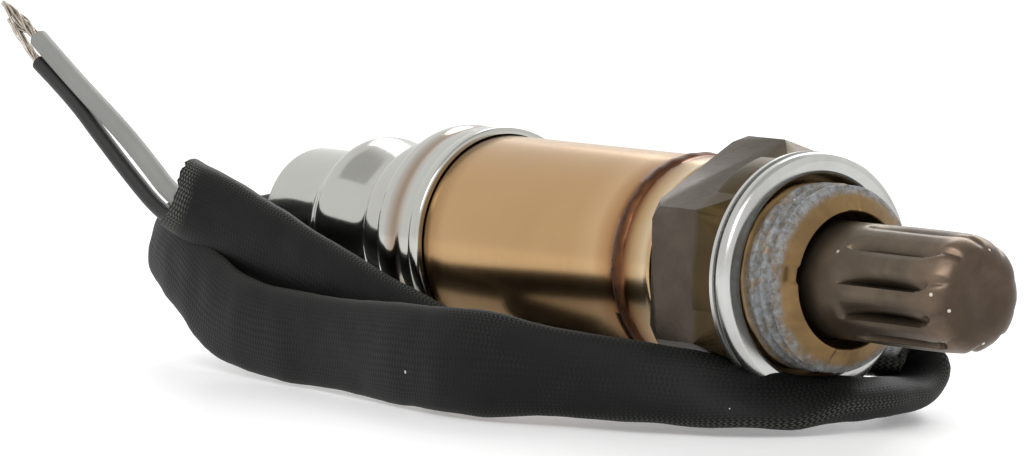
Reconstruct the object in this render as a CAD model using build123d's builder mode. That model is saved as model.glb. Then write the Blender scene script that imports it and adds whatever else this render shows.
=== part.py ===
from build123d import *
from math import cos, radians, sin
import os

# Exhaust-gas oxygen sensor, lying on its own folded sleeving. Millimetres.
# The sensor's axis is X with the probe at +X, Z is up, and the origin is the
# centre of the seat that the sealing ring presses against.

# Threaded hexagon shell
hex_across_flats = 22.0
hex_back_x = -9.4
hex_front_x = -3.2
hex_roll_deg = 148.6
hex_corner_drop = 1.15
seat_flange_r = 11.45
thread_r = 9.0
thread_end_x = 5.0
nose_x = 6.8
nose_edge_w = 0.15
probe_seat_x = 2.0
stake_count = 4
stake_first_deg = 85.0
stake_w = 2.4
stake_depth = 0.55
core_bore_r = 6.5
core_bore_x = -3.0
throat_r = 4.2
collar_end_x = -17.5

# Sealing ring, folded from sheet
ring_play = 0.85
ring_band = 2.0
ring_w = 2.25
ring_sheet = 0.45
ring_slit = 0.4

# Shield tube with louvres
tube_r = 5.6
tube_wall = 0.4
tube_end_x = 25.7
tube_end_round = 2.9
tube_foot_w = 0.6
tube_foot_out = 0.95
louvre_count = 10
louvre_first_deg = 11.0
louvre_front_x = 22.4
louvre_back_x = 11.2
louvre_deg = 17.0
louvre_drop = 0.95

# Sensing element and what seats it
cell_collar_r = 6.2
cell_r = 3.5
cell_tip_r = 2.6
cell_tip_x = 20.4
cell_collar_w = 3.2
cell_tail_r = 4.3
cell_tail_x = -12.6
cell_bore_r = 1.8
seat_washer_w = 0.5
packing_w = 3.0
clamp_w = 1.8

# Contact train
bush_flange_w = 0.8
bush_flange_r = 3.9
pin_r = 0.6
pin_fit = 0.1
support_r = 5.2
support_play = 0.33
support_collar_w = 3.6
spring_w = 1.4
spring_sheet = 0.5
tab_w = 0.5
lead_y = 2.1
ground_ring_w = 0.6
crimp_r = 1.35
crimp_len = 7.0
insulator_len = 8.6
insulator_in = 0.6

# Barrel
barrel_r = 10.33
barrel_wall = 0.8
barrel_front_x = -10.3
barrel_lip_w = 0.6
barrel_lip_rise = 0.22
weld_x = -15.2
weld_w = 1.5
weld_rise = 0.35
barrel_end_x = -49.8
barrel_end_turn = 3.13

# Rear cap
cap_front_x = -44.9
cap_wall = 0.6
cap_play = 0.17
cap_rim_w = 1.1
cap_rim_rise = 0.08
cap_groove_x = -48.9
cap_groove_w = 1.7
cap_groove_depth = 0.22
skirt_end_x = -53.2
neck_x = -61.9
neck_in = 3.6
bulge_x = -65.3
bulge_in = 2.2
spout_x = -71.2
spout_in = 4.0
cap_end_x = -74.6

# Leads and sleeving
lead_wire_r = 1.0
thin_wire_r = 0.85
strand_share = 0.62
lead_straight = 4.5
tip_straight = 1.8
wall_cloth = 0.5
mouth_depth = 9.0
fit_gap = 0.05

os.makedirs("parts", exist_ok=True)
core_back_x = core_bore_x - seat_washer_w
collar_back_x = core_back_x - cell_collar_w
packing_back_x = collar_back_x - packing_w
clamp_back_x = packing_back_x - clamp_w
collar_r = barrel_r - barrel_wall
support_collar_r = collar_r - support_play
barrel_end_hole_r = barrel_r - barrel_end_turn
cap_r = barrel_r + cap_play + cap_wall
neck_r = cap_r - neck_in
bulge_r = cap_r - bulge_in
spout_r = cap_r - spout_in
insulator_r = barrel_end_hole_r - insulator_in
nose_bore_r = tube_r + tube_foot_out
nose_mouth_r = nose_bore_r + nose_edge_w
ring_hole_r = thread_r + ring_play
ring_r = ring_hole_r + ring_band
tab_x = barrel_end_x - ground_ring_w
corner_r = hex_across_flats / 2 / cos(radians(30))


def save(part, name):
    part.label = name
    export_step(part, f"parts/{name}.step")


def ring_face(x_low, x_high, r_low, r_high):
    """Adds one rectangle of a turned profile, from x_low to x_high and r_low to r_high."""
    with Locations(((x_low + x_high) / 2, (r_low + r_high) / 2)):
        Rectangle(x_high - x_low, r_high - r_low)


# Hexagon shell: one forged and turned piece, with the thread left at its crest size
with BuildPart() as hex_shell:
    with BuildSketch(Plane.YZ.offset(hex_back_x)):
        RegularPolygon(hex_across_flats / 2, 6, major_radius=False, rotation=hex_roll_deg)
    extrude(amount=-hex_back_x)
    with BuildSketch(Plane.XZ) as chamfer_cone:
        with BuildLine():
            Polyline(
                (hex_back_x, 0),
                (hex_back_x, corner_r - hex_corner_drop / 2),
                (hex_back_x + hex_corner_drop, corner_r + fit_gap),
                (hex_front_x, corner_r + fit_gap),
                (0, corner_r - hex_corner_drop),
                (0, 0),
                close=True,
            )
        make_face()
    revolve(axis=Axis.X, mode=Mode.INTERSECT)
    with BuildSketch(Plane.XZ):
        ring_face(hex_front_x, 0, 0, seat_flange_r)
        ring_face(collar_end_x, hex_back_x, 0, collar_r)
        ring_face(0, thread_end_x, 0, thread_r)
        with BuildLine():
            Polyline(
                (thread_end_x, 0),
                (thread_end_x, thread_r),
                (nose_x, nose_mouth_r + fit_gap),
                (nose_x, 0),
                close=True,
            )
        make_face()
    revolve(axis=Axis.X)
    with BuildSketch(Plane.XZ):
        ring_face(probe_seat_x, nose_x, 0, nose_bore_r)
        ring_face(core_bore_x, probe_seat_x, 0, throat_r)
        ring_face(collar_end_x, core_bore_x, 0, core_bore_r)
    revolve(axis=Axis.X, mode=Mode.SUBTRACT)
    with BuildSketch(Plane.YZ.offset(nose_x)):
        with PolarLocations(nose_mouth_r + stake_w / 2, stake_count, start_angle=stake_first_deg):
            Rectangle(stake_w, stake_w)
    extrude(amount=-stake_depth, mode=Mode.SUBTRACT)
save(hex_shell.part, "hex_shell")

# Sealing ring: a sheet folded back on itself, with its slit to the rear
with BuildPart() as crush_gasket:
    with BuildSketch(Plane.XZ):
        half = ring_sheet / 2
        with BuildLine() as fold:
            FilletPolyline(
                (half, ring_r - half),
                (half, ring_hole_r + half),
                (ring_w - half, ring_hole_r + half),
                (ring_w - half, ring_r - half),
                (ring_sheet + ring_slit + half, ring_r - half),
                radius=0.5,
            )
        trace(line_width=ring_sheet)
    revolve(axis=Axis.X)
save(crush_gasket.part, "crush_gasket")

# Shield tube: drawn cup with a foot, pierced and pressed in to make louvres
with BuildPart() as shield_tube:
    with BuildSketch(Plane.XZ):
        with BuildLine():
            Polyline((probe_seat_x, 0), (probe_seat_x, nose_bore_r - fit_gap))
            Polyline(
                (probe_seat_x, nose_bore_r - fit_gap),
                (probe_seat_x + tube_foot_w, nose_bore_r - fit_gap),
                (probe_seat_x + tube_foot_w, tube_r),
                (tube_end_x - tube_end_round, tube_r),
            )
            RadiusArc(
                (tube_end_x - tube_end_round, tube_r),
                (tube_end_x, tube_r - tube_end_round),
                tube_end_round,
            )
            Polyline((tube_end_x, tube_r - tube_end_round), (tube_end_x, 0), (probe_seat_x, 0))
        make_face()
    revolve(axis=Axis.X)
    with BuildSketch(Plane.XZ):
        with BuildLine():
            inner_round = tube_end_round - tube_wall
            inner_r = tube_r - tube_wall
            inner_end_x = tube_end_x - tube_wall
            Polyline(
                (inner_end_x, 0),
                (probe_seat_x, 0),
                (probe_seat_x, inner_r),
                (inner_end_x - inner_round, inner_r),
            )
            RadiusArc((inner_end_x - inner_round, inner_r), (inner_end_x, inner_r - inner_round), inner_round)
            Line((inner_end_x, inner_r - inner_round), (inner_end_x, 0))
        make_face()
    revolve(axis=Axis.X, mode=Mode.SUBTRACT)
    # each louvre: a lengthwise window, then its strip hung inward from one long edge
    for k in range(louvre_count):
        edge_deg = louvre_first_deg + k * 360 / louvre_count
        slit_deg = edge_deg + louvre_deg
        mid_r = tube_r - tube_wall / 2
        edge = Vector(cos(radians(edge_deg)), sin(radians(edge_deg)))
        slit = Vector(cos(radians(slit_deg)), sin(radians(slit_deg)))
        with BuildSketch(Plane.YZ.offset(louvre_back_x)):
            with BuildLine():
                Polyline(
                    edge * (tube_r + 1),
                    edge * (tube_r - 2 * tube_wall),
                    slit * (tube_r - 2 * tube_wall),
                    slit * (tube_r + 1),
                    close=True,
                )
            make_face()
        extrude(amount=louvre_front_x - louvre_back_x, mode=Mode.SUBTRACT)
        with BuildSketch(Plane.YZ.offset(louvre_back_x)):
            with BuildLine() as strip:
                Line(edge * mid_r, slit * (mid_r - louvre_drop))
            trace(line_width=tube_wall)
        extrude(amount=louvre_front_x - louvre_back_x)
save(shield_tube.part, "shield_tube")

# Zirconia cell: a closed ceramic thimble with a collar
with BuildPart() as zirconia_cell:
    with BuildSketch(Plane.XZ):
        with BuildLine():
            Polyline(
                (cell_tip_x - cell_tip_r, cell_tip_r),
                (probe_seat_x, cell_r),
                (core_back_x, cell_r),
                (core_back_x, cell_collar_r),
                (collar_back_x, cell_collar_r),
                (collar_back_x, cell_tail_r),
                (cell_tail_x, cell_tail_r),
                (cell_tail_x, 0),
                (cell_tip_x, 0),
            )
            RadiusArc((cell_tip_x, 0), (cell_tip_x - cell_tip_r, cell_tip_r), -cell_tip_r)
        make_face()
    revolve(axis=Axis.X)
    with BuildSketch(Plane.XZ):
        ring_face(cell_tail_x, cell_tip_x - cell_tip_r, 0, cell_bore_r)
    revolve(axis=Axis.X, mode=Mode.SUBTRACT)
save(zirconia_cell.part, "zirconia_cell")


def turned(name, x_low, x_high, r_low, r_high):
    """Makes and writes one plain turned ring."""
    with BuildPart() as ring:
        with BuildSketch(Plane.XZ):
            ring_face(x_low, x_high, r_low, r_high)
        revolve(axis=Axis.X)
    save(ring.part, name)


turned("seat_washer", core_back_x, core_bore_x, throat_r, core_bore_r)
turned("talc_packing", packing_back_x, collar_back_x, cell_tail_r, core_bore_r)
turned("clamp_ring", clamp_back_x, packing_back_x, cell_tail_r, core_bore_r)

# Contact bush: pressed into the cell's bore, with its flange on the cell's end
bush_back_x = cell_tail_x - bush_flange_w
with BuildPart() as contact_bush:
    with BuildSketch(Plane.XZ):
        ring_face(cell_tail_x, collar_back_x, pin_r + pin_fit, cell_bore_r)
        ring_face(bush_back_x, cell_tail_x, pin_r + pin_fit, bush_flange_r)
    revolve(axis=Axis.X)
save(contact_bush.part, "contact_bush")

# Support tube: the long ceramic that carries the contact pin
spring_front_x = barrel_end_x + barrel_wall + spring_w
support_collar_x = spring_front_x + support_collar_w
with BuildPart() as support_tube:
    with BuildSketch(Plane.XZ):
        ring_face(spring_front_x, bush_back_x, pin_r + pin_fit, support_r)
        ring_face(spring_front_x, support_collar_x, pin_r + pin_fit, support_collar_r)
    revolve(axis=Axis.X)
    chamfer(support_tube.edges().filter_by(GeomType.CIRCLE).group_by(SortBy.RADIUS)[-1], 0.5)
save(support_tube.part, "support_tube")

# Contact pin: a rod from the bush to a flat tab that the signal crimp lands on
with BuildPart() as contact_pin:
    with BuildSketch(Plane.XZ):
        ring_face(tab_x, collar_back_x, 0, pin_r)
    revolve(axis=Axis.X)
    with BuildSketch(Plane.YZ.offset(tab_x)):
        with Locations((lead_y / 2, 0)):
            Rectangle(lead_y + 2 * pin_r, 2 * pin_r)
    extrude(amount=tab_w)
save(contact_pin.part, "contact_pin")

# Disc spring: a dished washer between the support tube and the barrel's turned-in end
with BuildPart() as disc_spring:
    with BuildSketch(Plane.XZ):
        with BuildLine():
            Polyline(
                (spring_front_x, support_r + 1),
                (spring_front_x, support_r + 1.6),
                (spring_front_x - spring_w + spring_sheet, support_collar_r),
                (spring_front_x - spring_w, support_collar_r),
                (spring_front_x - spring_w, support_collar_r - 0.6),
                (spring_front_x - spring_sheet, support_r + 1),
                close=True,
            )
        make_face()
    revolve(axis=Axis.X)
save(disc_spring.part, "disc_spring")

# Barrel: drawn sleeve with a bright lip, a raised weld and a turned-in rear end
with BuildPart() as barrel_sleeve:
    with BuildSketch(Plane.XZ):
        ring_face(barrel_end_x, barrel_front_x, barrel_r - barrel_wall, barrel_r)
        ring_face(barrel_front_x - barrel_lip_w, barrel_front_x, collar_r, barrel_r + barrel_lip_rise)
        ring_face(barrel_end_x, barrel_end_x + barrel_wall, barrel_end_hole_r, barrel_r)
        with BuildLine():
            weld_low = (weld_x - weld_w / 2, barrel_r - fit_gap)
            weld_high = (weld_x + weld_w / 2, barrel_r - fit_gap)
            ThreePointArc(weld_low, (weld_x, barrel_r + weld_rise), weld_high)
            Line(weld_high, weld_low)
        make_face()
    revolve(axis=Axis.X)
save(barrel_sleeve.part, "barrel_sleeve")

# Ground ring on the barrel's turned-in end, with a tab that reaches the ground crimp
ground_hole_r = barrel_end_hole_r - 2
with BuildPart() as ground_ring:
    with BuildSketch(Plane.YZ.offset(tab_x)):
        Circle(barrel_end_hole_r + 2)
        Circle(ground_hole_r, mode=Mode.SUBTRACT)
        with Locations((-(lead_y + ground_hole_r) / 2 - pin_r / 2, 0)):
            Rectangle(ground_hole_r - lead_y + 2 * pin_r, 2 * pin_r)
    extrude(amount=ground_ring_w)
save(ground_ring.part, "ground_ring")

# Insulator: holds both crimps apart behind the barrel's end
insulator_end_x = tab_x - insulator_len
with BuildPart() as insulator:
    with BuildSketch(Plane.YZ.offset(insulator_end_x)):
        Circle(insulator_r)
        with Locations((lead_y, 0), (-lead_y, 0)):
            Circle(crimp_r, mode=Mode.SUBTRACT)
    extrude(amount=insulator_len)
    fillet(insulator.faces().sort_by(Axis.X)[0].outer_wire().edges(), 0.8)
save(insulator.part, "insulator")

# Crimps: one barrel on the contact lead, one on the ground lead
for side, crimp_name in ((1, "signal_crimp"), (-1, "ground_crimp")):
    with BuildPart() as crimp:
        with BuildSketch(Plane.YZ.offset(tab_x)):
            with Locations((side * lead_y, 0)):
                Circle(crimp_r)
        extrude(amount=-crimp_len)
    save(crimp.part, crimp_name)

# Rear cap: a drawn cup with a rim, a shallow groove, a bulge, a crimped neck and a spout.
# The outside is turned first, then the same outline one wall further in is cut out.
with BuildPart() as rear_cap:
    for inset, groove, rim, open_by, mode in (
        (0, cap_groove_depth, cap_rim_rise, 0, Mode.ADD),
        (cap_wall, cap_groove_depth / 2, 0, 1, Mode.SUBTRACT),
    ):
        skirt = cap_r - inset
        groove_front = (cap_groove_x + cap_groove_w / 2, skirt)
        groove_back = (cap_groove_x - cap_groove_w / 2, skirt)
        with BuildSketch(Plane.XZ):
            with BuildLine():
                Polyline(
                    (cap_front_x, 0),
                    (cap_front_x, skirt + rim),
                    (cap_front_x - cap_rim_w, skirt + rim),
                    (cap_front_x - cap_rim_w - 0.4, skirt),
                    groove_front,
                )
                ThreePointArc(groove_front, (cap_groove_x, skirt - groove), groove_back)
                Line(groove_back, (skirt_end_x, skirt))
                ThreePointArc(
                    (skirt_end_x, skirt),
                    (skirt_end_x - 3.0, skirt - 0.6),
                    (skirt_end_x - 5.2, skirt - 1.6),
                )
                Polyline(
                    (skirt_end_x - 5.2, skirt - 1.6),
                    (neck_x + 1.0, neck_r + 0.85 - inset),
                    (neck_x, neck_r - inset),
                    (neck_x - 0.8, bulge_r - 0.6 - inset),
                )
                ThreePointArc(
                    (neck_x - 0.8, bulge_r - 0.6 - inset),
                    (bulge_x, bulge_r - inset),
                    (spout_x + 2.2, spout_r + 0.85 - inset),
                )
                ThreePointArc(
                    (spout_x + 2.2, spout_r + 0.85 - inset),
                    (spout_x + 1.0, spout_r + 0.3 - inset),
                    (spout_x, spout_r - inset),
                )
                Polyline(
                    (spout_x, spout_r - inset),
                    (cap_end_x - open_by, spout_r - inset),
                    (cap_end_x - open_by, 0),
                    (cap_front_x, 0),
                )
            make_face()
        revolve(axis=Axis.X, mode=mode)
    fillet(rear_cap.edges().filter_by(GeomType.CIRCLE).group_by(Axis.X)[0].sort_by(SortBy.RADIUS)[-1], 0.35)
save(rear_cap.part, "rear_cap")

# Grommet: rubber plug in the cap's spout, gripped by the crimped neck
grommet_x = neck_x + 0.6
with BuildPart() as cable_grommet:
    with BuildSketch(Plane.XZ):
        ring_face(cap_end_x, grommet_x, 0, spout_r - cap_wall - fit_gap)
    revolve(axis=Axis.X)
    with BuildSketch(Plane.YZ.offset(cap_end_x)):
        with Locations((lead_y, 0)):
            Circle(thin_wire_r)
        with Locations((-lead_y, 0)):
            Circle(lead_wire_r)
    extrude(amount=grommet_x - cap_end_x, mode=Mode.SUBTRACT)
save(cable_grommet.part, "cable_grommet")

# Sleeving: a flat woven sleeve with both leads in it. It is written as lofts through
# upright or lying oval sections. A station is its centre, the way it runs there, the
# way its width points, its width and its thickness.
up = (0, 0, 1)
sleeve_stations = {
    "sleeve_exit": (
        ((cap_end_x, 0, 0), (-1, 0, 0), up, 6.4, 5.4),
        ((-80.5, 0.2, -0.4), (-1, 0, -0.05), up, 7.6, 4.4),
        ((-88.5, 0.6, -1.6), (-1, 0.0, -0.15), up, 9.0, 3.4),
    ),
    "sleeve_left_fold": (
        ((-88.5, 0.6, -1.6), (-1, 0.0, -0.15), up, 9.0, 3.4),
        ((-93.0, -0.8, -2.6), (-0.8, -0.6, -0.2), up, 9.2, 3.2),
        ((-95.2, -5.2, -3.8), (0, -1, -0.25), up, 9.2, 3.0),
        ((-91.5, -9.0, -5.2), (0.95, -0.3, -0.3), up, 9.2, 3.0),
    ),
    "sleeve_front": (
        ((-91.5, -9.0, -5.2), (0.95, -0.3, -0.3), up, 9.2, 3.0),
        ((-78.0, -12.2, -8.4), (0.96, -0.24, -0.18), up, 9.2, 3.0),
        ((-64.0, -15.6, -9.7), (0.98, -0.16, -0.03), up, 9.0, 3.0),
        ((-48.0, -17.6, -9.6), (0.99, -0.14, 0.0), up, 9.2, 3.0),
        ((-34.0, -20.4, -9.2), (0.98, -0.18, 0.0), (0, 0.04, 1), 10.0, 3.0),
        ((-24.5, -21.6, -8.9), (0.98, 0.16, 0.0), (0, 0.08, 1), 10.5, 3.0),
    ),
    "sleeve_twist": (
        ((-24.5, -21.6, -8.9), (0.98, 0.16, 0.0), (0, 0.08, 1), 10.5, 3.0),
        ((-16.2, -16.4, -9.6), (0.66, 0.75, -0.1), (-0.35, 0.25, 0.9), 10.2, 2.8),
        ((-11.5, -8.8, -11.5), (0.42, 0.9, -0.12), (-0.72, 0.25, 0.65), 9.0, 2.2),
        ((-8.6, 0.6, -13.45), (0.33, 0.94, 0.0), (-0.94, 0.33, 0.06), 9.6, 1.4),
    ),
    "sleeve_under": (
        ((-8.6, 0.6, -13.45), (0.33, 0.94, 0.0), (-0.94, 0.33, 0.06), 9.6, 1.4),
        ((-5.4, 9.0, -13.35), (0.4, 0.92, 0.0), (-0.92, 0.4, 0), 9.8, 1.6),
        ((-1.6, 15.6, -13.35), (0.56, 0.83, 0.0), (-0.83, 0.56, 0), 10.0, 1.6),
    ),
    "sleeve_right_fold": (
        ((-1.6, 15.6, -13.35), (0.56, 0.83, 0.0), (-0.83, 0.56, 0), 10.0, 1.6),
        ((0.4, 18.5, -12.1), (0, 0, 1), (-0.83, 0.56, 0), 10.0, 1.6),
        ((-1.6, 15.6, -10.85), (-0.56, -0.83, 0), (-0.83, 0.56, 0), 10.0, 1.6),
    ),
    "sleeve_return": (
        ((-1.6, 15.6, -10.85), (-0.56, -0.83, 0), (-0.83, 0.56, 0), 10.0, 1.6),
        ((-11.8, 8.2, -11.3), (-0.8, -0.6, -0.06), (-0.6, 0.8, 0), 9.4, 1.7),
        ((-22.8, -0.6, -12.4), (-0.8, -0.6, -0.03), (-0.6, 0.8, 0), 9.2, 1.9),
    ),
    "sleeve_rise": (
        ((-22.8, -0.6, -12.4), (-0.8, -0.6, -0.03), (-0.6, 0.8, 0), 9.2, 1.9),
        ((-31.0, -8.4, -12.0), (-0.85, -0.5, 0.12), (-0.5, 0.8, 0.32), 9.0, 2.2),
        ((-35.2, -11.3, -10.6), (-0.9, -0.4, 0.25), (-0.2, 0.45, 0.8), 9.0, 2.3),
        ((-39.0, -13.2, -8.7), (-0.93, -0.2, 0.3), (0.2, 0.1, 1), 9.0, 2.4),
    ),
    "sleeve_end": (
        ((-39.0, -13.2, -8.7), (-0.93, -0.2, 0.3), (0.2, 0.1, 1), 9.0, 2.4),
        ((-50.0, -13.6, -4.8), (-0.95, 0, 0.29), (0.29, 0, 0.95), 8.8, 2.6),
        ((-62.0, -13.5, -1.3), (-0.96, 0, 0.27), (0.27, 0, 0.96), 8.6, 3.0),
        ((-72.0, -13.2, 1.3), (-0.97, 0, 0.23), (0.23, 0, 0.97), 8.2, 3.8),
    ),
}
for sleeve_name, stations in sleeve_stations.items():
    with BuildPart() as stretch:
        for centre, run, width_way, width, thick in stations:
            with BuildSketch(Plane(origin=centre, x_dir=width_way, z_dir=run)):
                Ellipse(width / 2, thick / 2)
        loft()
    save(stretch.part, sleeve_name)

# The sleeving's open mouth, from which the two leads come out
mouth_start = Vector(-72.0, -13.2, 1.3)
mouth_run = Vector(-0.97, 0, 0.23).normalized()
mouth_up = Vector(0.23, 0, 0.97).normalized()
mouth_sections = ((0, 8.2, 3.8), (mouth_depth, 7.8, 5.4))
with BuildPart() as sleeve_mouth:
    for thin, mode in ((0, Mode.ADD), (wall_cloth, Mode.SUBTRACT)):
        for along, width, thick in mouth_sections:
            with BuildSketch(Plane(origin=mouth_start + mouth_run * along, x_dir=mouth_up, z_dir=mouth_run)):
                Ellipse(width / 2 - thin, thick / 2 - thin)
        loft(mode=mode)
save(sleeve_mouth.part, "sleeve_mouth")


def arc_radii(points):
    """Gives each corner 0.45 of its shorter run over the tangent of half its turn."""
    radii = []
    for before, here, after in zip(points, points[1:], points[2:]):
        arriving, leaving = here - before, after - here
        half_turn = radians(arriving.get_angle(leaving)) / 2
        radii.append(0.45 * min(arriving.length, leaving.length) * cos(half_turn) / sin(half_turn))
    return radii


# Leads: the length from crimp to grommet, and the free end out of the mouth
lead_ends = {
    "grey_wire": (
        -1,
        lead_wire_r,
        mouth_start + mouth_up * 0.8,
        ((-82.0, -13.2, 4.1), (-89.5, -13.3, 8.0), (-98.5, -13.1, 13.3), (-106.4, -12.6, 17.4)),
        (-112.1, -12.6, 20.6),
    ),
    "black_wire": (
        1,
        thin_wire_r,
        mouth_start - mouth_up * 1.3,
        ((-82.4, -13.2, 1.7), (-90.5, -13.4, 4.9), (-98.5, -13.3, 9.8), (-105.4, -12.8, 14.6)),
        (-109.4, -13.4, 18.0),
    ),
}
for wire_name, (side, wire_r, wire_start, route, tip_end) in lead_ends.items():
    points = [wire_start, wire_start + mouth_run * lead_straight] + [Vector(*point) for point in route]
    bends = arc_radii(points)
    print(wire_name, "bend radii", [round(bend, 1) for bend in bends])
    with BuildPart() as wire:
        with BuildSketch(Plane.YZ.offset(tab_x - crimp_len)):
            with Locations((side * lead_y, 0)):
                Circle(wire_r)
        extrude(amount=cap_end_x - tab_x + crimp_len)
        with BuildLine() as path:
            FilletPolyline(*points, radius=bends)
        with BuildSketch(Plane(origin=path.line @ 0, z_dir=path.line % 0)):
            Circle(wire_r)
        sweep()
    save(wire.part, wire_name)
    # the bared and twisted conductors at the lead's tip
    last_run = (points[-1] - points[-2]).normalized()
    tip_points = [points[-1], points[-1] + last_run * tip_straight, Vector(*tip_end)]
    with BuildPart() as tip:
        with BuildLine() as tip_path:
            FilletPolyline(*tip_points, radius=arc_radii(tip_points))
        with BuildSketch(Plane(origin=tip_path.line @ 0, z_dir=tip_path.line % 0)):
            Circle(wire_r * strand_share)
        sweep()
    save(tip.part, wire_name.replace("wire", "strands"))
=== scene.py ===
import logging
import math
from dataclasses import dataclass, field
from enum import Enum
from typing import Callable, Sequence

import bmesh
import bpy
from mathutils import Matrix, Vector


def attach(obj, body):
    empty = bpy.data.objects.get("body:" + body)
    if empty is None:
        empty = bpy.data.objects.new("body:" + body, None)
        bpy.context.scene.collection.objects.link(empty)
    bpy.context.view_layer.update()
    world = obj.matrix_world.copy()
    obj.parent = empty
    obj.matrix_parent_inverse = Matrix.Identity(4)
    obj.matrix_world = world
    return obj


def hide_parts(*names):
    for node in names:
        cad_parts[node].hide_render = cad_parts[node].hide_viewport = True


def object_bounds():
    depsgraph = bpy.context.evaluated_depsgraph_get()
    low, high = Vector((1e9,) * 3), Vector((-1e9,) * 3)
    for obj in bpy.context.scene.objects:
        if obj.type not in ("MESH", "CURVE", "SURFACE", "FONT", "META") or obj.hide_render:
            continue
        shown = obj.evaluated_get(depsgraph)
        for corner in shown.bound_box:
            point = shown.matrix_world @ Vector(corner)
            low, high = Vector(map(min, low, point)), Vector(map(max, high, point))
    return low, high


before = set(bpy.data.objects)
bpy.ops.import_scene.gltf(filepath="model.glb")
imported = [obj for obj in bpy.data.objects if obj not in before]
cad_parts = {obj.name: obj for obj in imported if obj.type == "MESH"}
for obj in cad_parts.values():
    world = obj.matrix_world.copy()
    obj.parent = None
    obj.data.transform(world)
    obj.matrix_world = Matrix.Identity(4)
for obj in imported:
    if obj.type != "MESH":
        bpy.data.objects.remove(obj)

MM = 0.001
CAD_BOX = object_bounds()
LOG = logging.getLogger("oxygen_sensor")

Station = tuple[float, float]
Point = tuple[float, float, float]
Piece = bpy.types.Object
Material = bpy.types.Material
Tree = bpy.types.NodeTree
Socket = bpy.types.NodeSocket
Node = bpy.types.Node


class Slot(Enum):
    """The record's material slots."""

    SHELL = "shell_steel"
    RING = "ring_steel"
    SHIELD = "shield_steel"
    BARREL = "barrel_steel"
    CAP = "cap_steel"
    SLEEVING = "sleeving"
    GREY = "grey_insulation"
    BLACK = "black_insulation"
    COPPER = "tinned_copper"


def tint(code: str) -> tuple[float, float, float, float]:
    """Turns a written colour, such as 7c8084, into linear values with full cover."""
    parts = [int(code[i : i + 2], 16) / 255 for i in (0, 2, 4)]
    linear = [p / 12.92 if p <= 0.04045 else ((p + 0.055) / 1.055) ** 2.4 for p in parts]
    return (linear[0], linear[1], linear[2], 1.0)


# ---- shaping


def deselect() -> None:
    """Goes to object mode and selects nothing."""
    if bpy.context.object is not None and bpy.context.object.mode != "OBJECT":
        bpy.ops.object.mode_set(mode="OBJECT")
    bpy.ops.object.select_all(action="DESELECT")


def take_up(piece: Piece) -> None:
    """Makes one piece the only selected one, and the active one."""
    deselect()
    piece.select_set(True)
    bpy.context.view_layer.objects.active = piece


def edit_all(piece: Piece) -> None:
    """Opens a mesh for edits, with all of it selected."""
    take_up(piece)
    bpy.ops.object.mode_set(mode="EDIT")
    bpy.ops.mesh.select_all(action="SELECT")


def settle(piece: Piece) -> None:
    """Puts a piece's place and turn into its mesh, so that its object sits at the origin."""
    take_up(piece)
    bpy.ops.object.transform_apply(location=True, rotation=True, scale=True)


def tidy_mesh(piece: Piece, gap: float = 0.002) -> None:
    """Merges doubled points and turns every face outwards.

    Args:
        piece: The mesh object.
        gap: The distance below which points are merged, in millimetres.
    """
    edit_all(piece)
    bpy.ops.mesh.remove_doubles(threshold=gap * MM)
    bpy.ops.mesh.normals_make_consistent(inside=False)
    bpy.ops.object.mode_set(mode="OBJECT")


def apply_modifier(piece: Piece, kind: str, **settings: object) -> None:
    """Adds one modifier with its settings and applies it.

    Args:
        piece: The mesh object.
        kind: The modifier's type.
        settings: The modifier's own values.
    """
    take_up(piece)
    modifier = piece.modifiers.new(kind.lower(), kind)
    for key, value in settings.items():
        setattr(modifier, key, value)
    bpy.ops.object.modifier_apply(modifier=modifier.name)


def turn(name: str, stations: Sequence[Station], segments: int = 128, closed_tip: bool = False) -> Piece:
    """Turns a profile about the X axis, by extruding a ring from station to station.

    Args:
        name: The piece's name.
        stations: Pairs of place along X and radius, in millimetres.
        segments: Points round the ring.
        closed_tip: Whether the last ring is drawn together to a point.

    Returns:
        The turned mesh object, at the origin.
    """
    deselect()
    x, r = stations[0]
    bpy.ops.mesh.primitive_circle_add(
        vertices=segments, radius=r * MM, location=(x * MM, 0, 0), rotation=(0, math.pi / 2, 0)
    )
    piece = bpy.context.object
    piece.name = name
    settle(piece)
    edit_all(piece)
    for (x_from, r_from), (x_to, r_to) in zip(stations, stations[1:]):
        bpy.ops.mesh.extrude_region_move(TRANSFORM_OT_translate={"value": ((x_to - x_from) * MM, 0, 0)})
        if r_to != r_from:
            share = r_to / r_from
            bpy.ops.transform.resize(value=(1, share, share), center_override=(x_to * MM, 0, 0))
    if closed_tip:
        bpy.ops.mesh.merge(type="CENTER")
    tidy_mesh(piece)
    return piece


def arc(centre: Station, radius: float, start: float, end: float, steps: int = 6) -> list[Station]:
    """Gives stations on an arc of a profile.

    Args:
        centre: The arc's centre, as place along X and distance from the axis.
        radius: The arc's radius in millimetres.
        start: First angle in degrees, from +X towards outwards.
        end: Last angle in degrees.
        steps: How many runs the arc has.

    Returns:
        The stations from the first angle to the last.
    """
    angles = [math.radians(start + (end - start) * i / steps) for i in range(steps + 1)]
    return [(centre[0] + radius * math.cos(a), centre[1] + radius * math.sin(a)) for a in angles]


def sheet_outline(line: Sequence[Station], thickness: float) -> list[Station]:
    """Gives the closed outline of a folded sheet from its middle line.

    Args:
        line: The middle line's stations.
        thickness: The sheet's thickness in millimetres.

    Returns:
        The outline's stations, with the first repeated at the end.
    """
    left, right = [], []
    for i, here in enumerate(line):
        before, after = line[max(i - 1, 0)], line[min(i + 1, len(line) - 1)]
        run = Vector((after[0] - before[0], after[1] - before[1])).normalized()
        side = Vector((-run.y, run.x)) * thickness / 2
        left.append((here[0] + side.x, here[1] + side.y))
        right.append((here[0] - side.x, here[1] - side.y))
    return [*left, *reversed(right), left[0]]


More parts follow.
